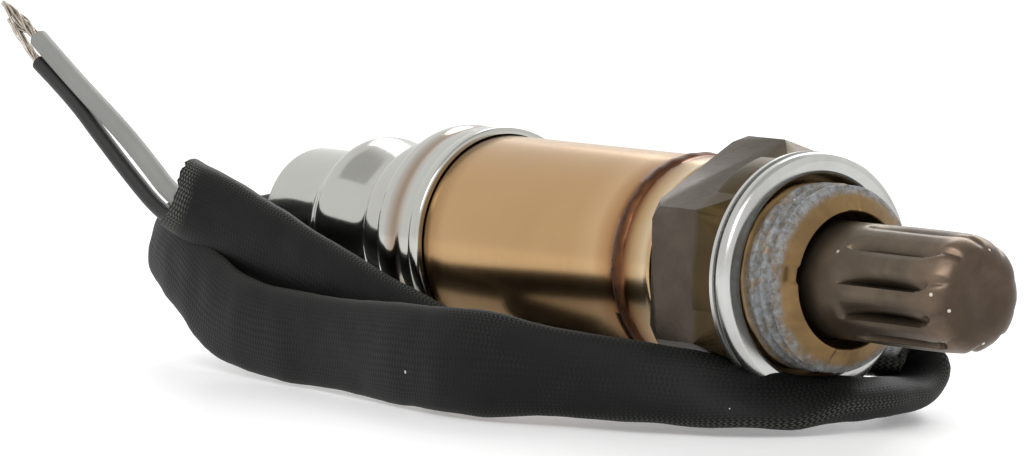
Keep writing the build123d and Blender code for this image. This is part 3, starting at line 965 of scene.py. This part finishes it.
@dataclass
class Barrel:
    """The drawn sleeve with its bright lip, raised weld and turned-in rear end."""

    radius: float = 10.33
    wall: float = 0.8
    front_x: float = -10.3
    lip_w: float = 0.6
    lip_rise: float = 0.22
    weld_x: float = -15.2
    weld_w: float = 1.5
    weld_rise: float = 0.34
    end_x: float = -49.8
    end_hole_r: float = 7.2

    def build(self, material: Material) -> Piece:
        """Makes the barrel and dresses it."""
        inner = self.radius - self.wall
        stations: list[Station] = [(self.front_x, inner + 0.02)]
        stations += arc((self.front_x - 0.18, self.radius + self.lip_rise - 0.18), 0.18, 0, 90, 4)
        stations += arc((self.front_x - self.lip_w + 0.18, self.radius + self.lip_rise - 0.18), 0.18, 90, 170, 4)
        stations += [(self.front_x - self.lip_w - 0.3, self.radius)]
        stations += [(x, self.radius) for x in (-11.6, -12.4, -13.2, -14.0)]
        low, high = self.weld_x + self.weld_w / 2, self.weld_x - self.weld_w / 2
        for i in range(13):
            x = low + (high - low) * i / 12
            share = (x - self.weld_x) / (self.weld_w / 2)
            stations.append((x, self.radius + self.weld_rise * (1 - share * share)))
        stations += [(-16.8 - 2.2 * i, self.radius) for i in range(15)]
        stations += arc((self.end_x + 0.8, self.radius - 0.8), 0.8, 90, 180, 6)
        stations += [(self.end_x, self.end_hole_r), (self.end_x + self.wall, self.end_hole_r)]
        stations += [(self.end_x + self.wall, inner), (self.front_x, inner), (self.front_x, inner + 0.02)]
        barrel = turn("barrel", stations, 192)

        def rule(x: float, r: float, angle: float) -> Station:
            """Gives the weld its ripples."""
            if r > self.radius + 0.02 and abs(x - self.weld_x) < self.weld_w / 2:
                share = (r - self.radius) / self.weld_rise
                x += 0.07 * math.sin(math.radians(angle * 24)) * share + 0.05 * math.sin(math.radians(angle * 7))
                r += 0.04 * math.sin(math.radians(angle * 31)) * share
            return x, r

        reshape(barrel, rule)
        return hand_over(barrel, material, ["barrel_sleeve"], 40)


@dataclass
class RearCap:
    """The drawn cap: rim, groove, shoulder, crimped neck, bulge and spout."""

    wall: float = 0.5
    front_x: float = -44.9
    end_x: float = -74.6
    spout_r: float = 7.1

    def outside(self) -> list[Station]:
        """Gives the outside from the rim to the spout's mouth."""
        rough = [
            (-45.6, 11.18), (-46.1, 11.14), (-46.35, 11.02), (-46.9, 11.04), (-47.7, 11.06), (-48.2, 10.95),
            (-48.9, 10.82), (-49.6, 10.95), (-50.1, 11.04), (-51.0, 11.02), (-51.45, 10.9),
        ]
        line: list[Station] = [(self.front_x, 10.55)]
        line += arc((self.front_x - 0.3, 10.88), 0.3, 0, 90, 4)
        line += smooth_line(rough, 2)
        line += [(-51.6, 10.7), (-51.75, 10.0), (-51.95, 9.6)]
        rear = [
            (-52.2, 9.45), (-52.85, 9.4), (-55.6, 9.3), (-56.2, 9.0), (-56.8, 8.3), (-57.3, 7.85),
            (-57.9, 7.7), (-58.7, 7.78), (-60.0, 8.1), (-61.5, 8.5), (-62.8, 8.85), (-63.7, 8.95),
            (-64.4, 8.8), (-65.1, 8.3), (-65.9, 7.6), (-66.5, 7.25), (-67.2, 7.12), (-68.2, self.spout_r),
        ]
        line += smooth_line(rear, 2)
        line += [(-70.5, self.spout_r), (self.end_x + 0.3, self.spout_r)]
        line += arc((self.end_x + 0.25, self.spout_r - 0.25), 0.25, 100, 180, 4)
        return line

    def build(self, material: Material) -> Piece:
        """Makes the cap and dresses it."""
        outside = self.outside()
        inside = [(max(x, self.end_x + 0.02), r - self.wall) for x, r in outside[6:-5]]
        inside.reverse()
        outline = [*outside, (self.end_x, self.spout_r - self.wall), *inside, (self.front_x, 10.5), outside[0]]
        cap = turn("polished_cap", outline, 192)
        return hand_over(cap, material, ["rear_cap"], 34)


@dataclass
class RouteStation:
    """One control point of the sleeving: its centre, how its width points, and its two widths."""

    centre: Point
    width_way: Point
    width: float
    thick: float


def heading(line: Sequence[Vector], i: int) -> Vector:
    """Gives the direction of a line at one of its points."""
    return (line[min(i + 1, len(line) - 1)] - line[max(i - 1, 0)]).normalized()


def curve_points(name: str, points: Sequence[Vector], resolution: int) -> list[Vector]:
    """Reads the points of a smooth line through a route.

    Args:
        name: A name for the line.
        points: The route's control points in metres.
        resolution: How many points each span gives.

    Returns:
        The line's points in metres, from first to last.
    """
    curve = nurbs(name, points, resolution)
    deselect()
    mesh = bpy.data.meshes.new_from_object(curve)
    line = [vertex.co.copy() for vertex in mesh.vertices]
    bpy.data.meshes.remove(mesh)
    bpy.data.objects.remove(curve, do_unlink=True)
    return line


def open_curve(
    name: str, kind: str, count: int, radius: float = 0.0, roundness: int = 4
) -> tuple[bpy.types.Curve, bpy.types.Spline]:
    """Starts a curve with room for its points, as a round wire where it gets a radius in millimetres."""
    data = bpy.data.curves.new(name, "CURVE")
    data.dimensions = "3D"
    data.bevel_depth = radius * MM
    data.bevel_resolution = roundness
    data.use_fill_caps = radius > 0
    spline = data.splines.new(kind)
    spline.points.add(count - 1)
    return data, spline


def nurbs(name: str, points: Sequence[Vector], resolution: int, radius: float = 0.0, roundness: int = 4) -> Piece:
    """Makes a smooth open curve with the route's points as its control points."""
    data, spline = open_curve(name, "NURBS", len(points), radius, roundness)
    data.resolution_u = resolution
    data.render_resolution_u = resolution
    for target, point in zip(spline.points, points):
        target.co = (point.x, point.y, point.z, 1.0)
    spline.order_u = 3
    spline.use_endpoint_u = True
    return place_object(name, data)


@dataclass
class Sleeving:
    """The flat woven sleeve with both leads in it, from the cap's spout to its open mouth."""

    stations: list[RouteStation]
    sides: int = 48
    resolution: int = 10
    wall: float = 0.45
    mouth_depth: float = 8.0
    cut_rings: int = 6
    girth: float = 20.0

    def way_at(self, place: float) -> RouteStation:
        """Gives the sleeve's width, its direction and thickness at a place along the route.

        Args:
            place: 0 at the first control point and the number of spans at the last.

        Returns:
            The blended station.
        """
        last = len(self.stations) - 1
        marks = [0.0, *[i - 0.5 for i in range(1, last)], float(last - 1)]
        index = max(i for i in range(last) if marks[i] <= place + 1e-9)
        share = (place - marks[index]) / (marks[index + 1] - marks[index])
        share = share * share * (3 - 2 * share)
        first, second = self.stations[index], self.stations[index + 1]
        way = Vector(first.width_way).normalized().lerp(Vector(second.width_way).normalized(), share)
        width = first.width * (1 - share) + second.width * share
        thick = first.thick * (1 - share) + second.thick * share
        return RouteStation((0, 0, 0), tuple(way.normalized()), width, thick)

    def section(self, centre: Vector, run: Vector, way: Vector, width: float, thick: float) -> list[Vector]:
        """Gives one ring of points, flat with tight edges."""
        across = (way - run * way.dot(run)).normalized()
        out = run.cross(across).normalized()
        ring = []
        for k in range(self.sides):
            a = 2 * math.pi * k / self.sides
            c, s = math.cos(a), math.sin(a)
            w = math.copysign(abs(c) ** 0.9, c) * width / 2
            t = math.copysign(abs(s) ** 0.92, s) * thick / 2
            ring.append(centre + across * w * MM + out * t * MM)
        return ring

    def build(self, material: Material, nodes: Sequence[str]) -> Piece:
        controls = [Vector(station.centre) * MM for station in self.stations]
        line = curve_points("sleeve_line", controls, self.resolution)
        spans = len(controls) - 2
        rings: list[list[Vector]] = []
        for i, here in enumerate(line):
            run = heading(line, i)
            way = self.way_at(spans * i / (len(line) - 1))
            rings.append(self.section(here, run, Vector(way.width_way), way.width, way.thick))
        run = (line[-1] - line[-2]).normalized()
        for i in range(self.cut_rings):
            rings[-1 - i] = self.slant_mouth(rings[-1 - i], way, run, 1 - i / self.cut_rings)
        hollow = (way.width - 2 * self.wall, way.thick - 2 * self.wall)
        for back in (0.0, 0.5, 2.0, 5.0, self.mouth_depth):
            ring = self.section(line[-1] - run * back * MM, run, Vector(way.width_way), *hollow)
            rings.append(self.slant_mouth(ring, way, run, max(0.0, 1 - back / self.cut_rings)))
        data = bpy.data.meshes.new("sleeving")
        count = self.sides
        faces = []
        for i in range(len(rings) - 1):
            for k in range(count):
                nxt = (k + 1) % count
                faces.append((i * count + k, i * count + nxt, (i + 1) * count + nxt, (i + 1) * count + k))
        faces.append(tuple(reversed(range(count))))
        faces.append(tuple((len(rings) - 1) * count + k for k in range(count)))
        data.from_pydata([point for ring in rings for point in ring], [], faces)
        sleeve = place_object("sleeving", data)
        self.lay_weave(sleeve, rings)
        tidy_mesh(sleeve, 0.0005)
        self.crumple(sleeve)
        hand_over(sleeve, material, nodes, 60)
        return sleeve

    def slant_mouth(self, ring: list[Vector], way: RouteStation, run: Vector, share: float) -> list[Vector]:
        """Cuts a ring near the mouth aslant, short in front and at the top, and a little frayed.

        Args:
            ring: The ring's points.
            way: The route station at the mouth.
            run: The direction in which the sleeve leaves, with length 1.
            share: How much of the cut the ring gets, 1 at the mouth.

        Returns:
            The moved points.
        """
        centre = sum(ring, Vector()) / len(ring)
        up = Vector(way.width_way).normalized()
        cut = []
        for k, point in enumerate(ring):
            height = (point - centre).dot(up) / MM
            front = -(point.y - centre.y) / MM
            fray = 0.18 * math.sin(k * 2.4) + 0.12 * math.sin(k * 5.1)
            hollow = max(front, 0) * 2 / way.thick * max(0.0, 1 - (2 * height / way.width) ** 2)
            cut.append(point + run * (-0.26 * height - 0.2 * front - 1.7 * hollow + fray) * share * MM)
        return cut

    def lay_weave(self, sleeve: Piece, rings: list[list[Vector]]) -> None:
        """Gives the sleeve a map in millimetres round and along it, and marks its worn edges."""
        layer = sleeve.data.uv_layers.new(name="weave")
        worn = sleeve.data.attributes.new("worn", "FLOAT", "POINT")
        lengths = [0.0]
        for a, b in zip(rings, rings[1:]):
            lengths.append(lengths[-1] + sum((q - p).length for p, q in zip(a, b)) / len(a) / MM)
        for polygon in sleeve.data.polygons:
            corners = [sleeve.data.loops[i].vertex_index for i in polygon.loop_indices]
            seam = {k % self.sides for k in corners} >= {0, self.sides - 1}
            for loop, vertex in zip(polygon.loop_indices, corners):
                k = vertex % self.sides
                turn_share = (k if not (seam and k == 0) else self.sides) / self.sides
                layer.data[loop].uv = (turn_share * self.girth, lengths[vertex // self.sides])
        last = len(rings) - 1
        for index in range(len(sleeve.data.vertices)):
            k, ring = index % self.sides, index // self.sides
            edge = abs(math.cos(2 * math.pi * k / self.sides)) ** 14
            mouth = 1.0 if abs(ring - (last - 5)) < 2 else 0.0
            worn.data[index].value = min(1.0, 0.75 * edge + mouth)

    def crumple(self, sleeve: Piece) -> None:
        """Presses soft creases into the cloth."""
        texture = bpy.data.textures.new("creases", "CLOUDS")
        texture.noise_scale = 0.006
        texture.noise_depth = 2
        apply_modifier(sleeve, "DISPLACE", texture=texture, strength=0.0004, mid_level=0.5)
        lowest = CAD_BOX[0].z + 0.00005
        for vertex in sleeve.data.vertices:
            vertex.co.z = max(vertex.co.z, lowest)


@dataclass
class Lead:
    """One insulated wire with its bared, twisted end."""

    name: str
    radius: float
    slot: Slot
    route: tuple[Point, ...]
    tip: Point
    strand_count: int
    strand_r: float
    bundle_r: float
    twist: float
    eye: float = 0.0

    def conductors(self, material: Material) -> Piece:
        """Makes the twisted strands that stand out of the insulation."""
        last, before = Vector(self.route[-1]), Vector(self.route[-2])
        run = (last - before).normalized()
        controls = [last - run * 1.2, last + run * 1.6, Vector(self.tip)]
        line = curve_points(self.name + "_tip_line", [point * MM for point in controls], 28)
        strands = []
        for k in range(self.strand_count):
            data, spline = open_curve("strand", "POLY", len(line), self.strand_r, 2)
            ring = 0.35 if k % 3 == 0 else 1.0
            for i, here in enumerate(line):
                share = i / (len(line) - 1)
                run = heading(line, i)
                side = run.cross(Vector((0, 1, 0))).normalized()
                rise = run.cross(side)
                a = 2 * math.pi * (k / self.strand_count + share * self.twist)
                swell = self.bundle_r * ring * (1 - 0.5 * ease(share, 0.75, 1.0))
                bow = self.eye * math.sin(math.pi * ease(share, 0.35, 1.0)) * (1 if k % 2 else -0.4)
                point = here + (side * (math.cos(a) * swell + bow) + rise * math.sin(a) * swell) * MM
                spline.points[i].co = (*point, 1.0)
            strand = place_object("strand", data)
            take_up(strand)
            bpy.ops.object.convert(target="MESH")
            strands.append(bpy.context.object)
        bundle = join(self.name.replace("wire", "strands"), strands)
        return hand_over(bundle, material, [self.name.replace("wire", "strands")], 60)

    def build(self, insulation: Material, metal: Material) -> Piece:
        bundle = self.conductors(metal)
        points = [Vector(point) * MM for point in self.route]
        line = curve_points("lead_line", points, 12)
        wire = nurbs("lead_" + self.name, points, 16, self.radius, 8)
        hand_over(wire, insulation, [self.name])
        return wire


@dataclass
class InnerParts:
    """The parts inside, which keep their solids and take a better material."""

    ceramic: str = "zirconia_cell support_tube insulator"
    packing: str = "talc_packing"
    contact: str = (
        "seat_washer clamp_ring contact_bush contact_pin disc_spring ground_ring signal_crimp ground_crimp"
    )
    rubber: str = "cable_grommet"

    def dress(self, shared: SharedEffects) -> None:
        """Puts each material in its solids' slots."""
        finishes = (
            (self.ceramic, MineralFinish("fired_ceramic", "e6e2d6", "cbc5b4")),
            (self.packing, MineralFinish("pressed_talc", "dcdad2", "c2bfb4", 0.75, 3000.0)),
            (self.contact, WireFinish("nickel_contact", "b9b6ae", "8e8a80")),
            (self.rubber, PlasticFinish("black_rubber", "171717", "232323", 0.55)),
        )
        for nodes, finish in finishes:
            material = finish.build(shared)
            for node in nodes.split():
                solid = bpy.data.objects[node]
                for index in range(len(solid.material_slots)):
                    solid.material_slots[index].material = material
                LOG.info("%s keeps its solid", node)


@dataclass
class Studio:
    """The camera, the pale floor and the soft lamps."""

    camera_place: Point = (572.4, -506.2, 78.5)
    forward: Point = (-0.7690, 0.6319, -0.0965)
    focal_px: float = 8070.0
    image_w: float = 1024.0
    sensor_w: float = 36.0
    floor_glow: float = 0.26

    def camera(self) -> None:
        """Sets the camera where the photograph was taken from."""
        data = bpy.data.cameras.new("camera")
        data.sensor_fit = "HORIZONTAL"
        data.sensor_width = self.sensor_w
        data.lens = self.focal_px / self.image_w * self.sensor_w
        data.clip_start = 0.01
        data.clip_end = 50.0
        camera = place_object("camera", data)
        point_at(camera, Vector(self.camera_place) * MM, Vector(self.forward))
        bpy.context.scene.camera = camera

    def floor(self) -> None:
        """Lays the white floor."""
        deselect()
        bpy.ops.mesh.primitive_plane_add(size=8.0, location=(0, 0, CAD_BOX[0].z - 0.00005))
        floor = bpy.context.object
        floor.name = "floor"
        coat = Coat("white_floor")
        look = {"Base Color": (0.86, 0.86, 0.86, 1), "Roughness": 0.35, "Specular IOR Level": 0.3}
        shader = coat.add("BsdfPrincipled", look)
        light = coat.add("LightPath").outputs
        seen = coat.maths("MAXIMUM", light["Is Camera Ray"], light["Is Glossy Ray"])
        glow = coat.add("Emission", {"Color": (1, 1, 1, 1), "Strength": coat.times(seen, self.floor_glow)})
        both = coat.add("AddShader", {0: shader.outputs[0], 1: glow.outputs[0]})
        coat.add("OutputMaterial", {"Surface": both.outputs[0]})
        floor.data.materials.append(coat.material)

    def ceiling(self) -> None:
        """Hangs the grey ceiling that polished tops reflect."""
        deselect()
        bpy.ops.mesh.primitive_plane_add(size=1.6, location=(0, 0, 1.2), rotation=(math.pi, 0, 0))
        ceiling = bpy.context.object
        ceiling.name = "ceiling"
        coat = Coat("grey_ceiling")
        glow = coat.add("Emission", {"Color": (0.62, 0.62, 0.61, 1), "Strength": 1.0})
        coat.add("OutputMaterial", {"Surface": glow.outputs[0]})
        ceiling.data.materials.append(coat.material)
        ceiling.visible_camera = ceiling.visible_diffuse = ceiling.visible_shadow = False

    def lamp(self, name: str, place: Point, aim: Point, size: Station, watts: float) -> None:
        """Hangs one soft lamp."""
        data = bpy.data.lights.new(name, "AREA")
        data.shape = "RECTANGLE"
        data.size, data.size_y = size
        data.energy = watts
        point_at(place_object(name, data), Vector(place), Vector(aim) - Vector(place))

    def world(self) -> None:
        """Makes the white surround."""
        world = bpy.data.worlds.new("surround")
        world.use_nodes = True
        sheet = Sheet(world.node_tree)
        light = sheet.add("LightPath").outputs
        traced = sheet.maths("MAXIMUM", light["Is Glossy Ray"], light["Is Transmission Ray"])
        seen = sheet.maths("MAXIMUM", light["Is Camera Ray"], traced)
        strength = sheet.add("MapRange", {"Value": seen, "To Min": 0.62, "To Max": 1.0}).outputs[0]
        background = sheet.add("Background", {"Color": (1, 1, 1, 1), "Strength": strength})
        sheet.add("OutputWorld", {"Surface": background.outputs[0]})
        bpy.context.scene.world = world

    def build(self) -> None:
        """Sets the whole scene up."""
        self.camera()
        self.floor()
        self.world()
        self.ceiling()
        self.lamp("key", (0.5, -0.9, 0.9), (0, 0, 0), (1.0, 0.8), 9.0)
        self.lamp("back", (-0.6, 0.9, 0.8), (0, 0, 0), (1.0, 0.6), 6.0)
        bpy.context.scene.view_settings.view_transform = "Standard"


SLEEVE_ROUTE = [
    ((-74.6, 0, 0), (0, 0, 1), 6.4, 5.4), ((-79.5, 0.2, -1.0), (0, 0, 1), 7.2, 4.6),
    ((-85.5, 0.6, -2.8), (0, 0, 1), 8.0, 3.6), ((-90.2, -1.2, -3.2), (0, 0, 1), 8.2, 3.2),
    ((-92.6, -5.4, -2.6), (0.15, 0, 1), 7.4, 3.0), ((-88.2, -9.9, -3.0), (0.42, 0, 0.91), 7.4, 3.0),
    ((-80.2, -12.9, -4.5), (0.42, 0, 0.91), 8.9, 3.0), ((-72.5, -15.0, -8.0), (0.22, 0, 0.97), 9.8, 3.0),
    ((-64.0, -16.6, -9.5), (0, 0, 1), 9.4, 3.0), ((-48.0, -17.8, -9.6), (0, 0, 1), 9.2, 3.0),
    ((-34.0, -20.4, -9.2), (0, 0.04, 1), 10.0, 3.0), ((-24.5, -21.2, -9.0), (0, 0.08, 1), 10.3, 3.0),
    ((-13.5, -17.6, -9.4), (-0.12, 0.16, 0.98), 8.3, 2.8),
    ((-3.8, -13.2, -10.0), (-0.28, 0.34, 0.9), 7.6, 3.0), ((3.2, -7.4, -11.2), (-0.6, 0.5, 0.62), 7.4, 3.0),
    ((4.6, 0.5, -11.6), (-1, 0.05, 0.1), 7.2, 4.2), ((3.0, 7.5, -11.9), (-1, -0.05, 0), 7.4, 3.6),
    ((0.8, 12.0, -12.1), (-0.98, 0.1, 0), 8.0, 3.2), ((-1.4, 16.2, -10.6), (-0.93, 0.36, 0), 8.6, 3.4),
    ((-3.8, 13.0, -9.0), (-0.8, 0.6, 0), 8.8, 3.2), ((-8.8, 9.4, -10.2), (-0.6, 0.8, 0), 9.0, 2.2),
    ((-14.5, 5.4, -11.9), (-0.6, 0.8, 0), 8.8, 2.6), ((-23.5, -1.4, -12.3), (-0.6, 0.8, 0), 8.8, 3.6),
    ((-31.0, -8.4, -12.1), (-0.5, 0.8, 0.32), 8.4, 2.4), ((-35.2, -11.3, -10.9), (-0.2, 0.45, 0.8), 8.4, 2.4),
    ((-39.0, -13.2, -9.5), (0.2, 0.1, 1), 8.4, 2.4), ((-50.0, -13.6, -6.4), (0.29, 0, 0.95), 8.6, 2.4),
    ((-62.0, -13.4, -2.5), (0.27, 0, 0.96), 8.4, 2.8), ((-72.0, -13.0, 0.0), (0.23, 0, 0.97), 8.8, 3.6),
    ((-80.9, -13.2, 2.9), (0.23, 0, 0.97), 8.2, 5.0),
]

SLEEVE_NODES = ["sleeve_" + part for part in "exit left_fold front twist under right_fold return rise end mouth".split()]


def main() -> None:
    """Builds the sensor piece by piece and dresses it."""
    logging.basicConfig(level=logging.INFO, format="%(message)s")
    Studio().build()
    shared = SharedEffects()
    copper = WireFinish("tinned_copper", "cdc8be", "9a8c7c", 0.25).build(shared)
    route = [RouteStation(*row) for row in SLEEVE_ROUTE]
    Sleeving(route).build(SleevingFinish().build(shared), SLEEVE_NODES)
    grey = Lead(
        "grey_wire",
        1.0,
        Slot.GREY,
        (
            (-71.82, -13.2, 1.0), (-78.0, -13.2, 1.3), (-82.4, -13.2, 2.7), (-86.0, -13.2, 5.4),
            (-90.7, -13.3, 8.7), (-98.9, -13.1, 13.2), (-105.8, -12.6, 17.1),
        ),
        (-112.0, -12.6, 20.5),
        strand_count=12, strand_r=0.13, bundle_r=0.4, twist=0.8, eye=0.55,
    )
    grey.build(PlasticFinish("grey_insulation", "8b8b87", "7b7b78").build(shared), copper)
    black = Lead(
        "black_wire",
        0.85,
        Slot.BLACK,
        (
            (-72.3, -13.2, -1.0), (-79.0, -13.2, -0.7), (-84.0, -13.2, 0.6), (-89.4, -13.3, 4.3),
            (-94.3, -13.3, 7.9), (-99.4, -13.1, 11.5), (-105.4, -12.8, 14.6),
        ),
        (-110.6, -12.9, 18.9),
        strand_count=9, strand_r=0.13, bundle_r=0.32, twist=0.7,
    )
    black.build(PlasticFinish("black_insulation", "101110", "1d1512").build(shared), copper)
    ThreadedShell().build(ShellFinish().build(shared))
    SealingRing().build(PlatedFinish("bright_ring", "c4c4c1", "807c74", 0.16).build(shared))
    ShieldTube().build(ShieldFinish().build(shared))
    Barrel().build(BarrelFinish().build(shared))
    cap_finish = PlatedFinish("polished_cap", "bcbcb6", "9d968c", 0.05, 0.15, -48.9, (-48.3, -9.0, -6.0))
    RearCap().build(cap_finish.build(shared))
    InnerParts().dress(shared)


if __name__ == "__main__":
    main()
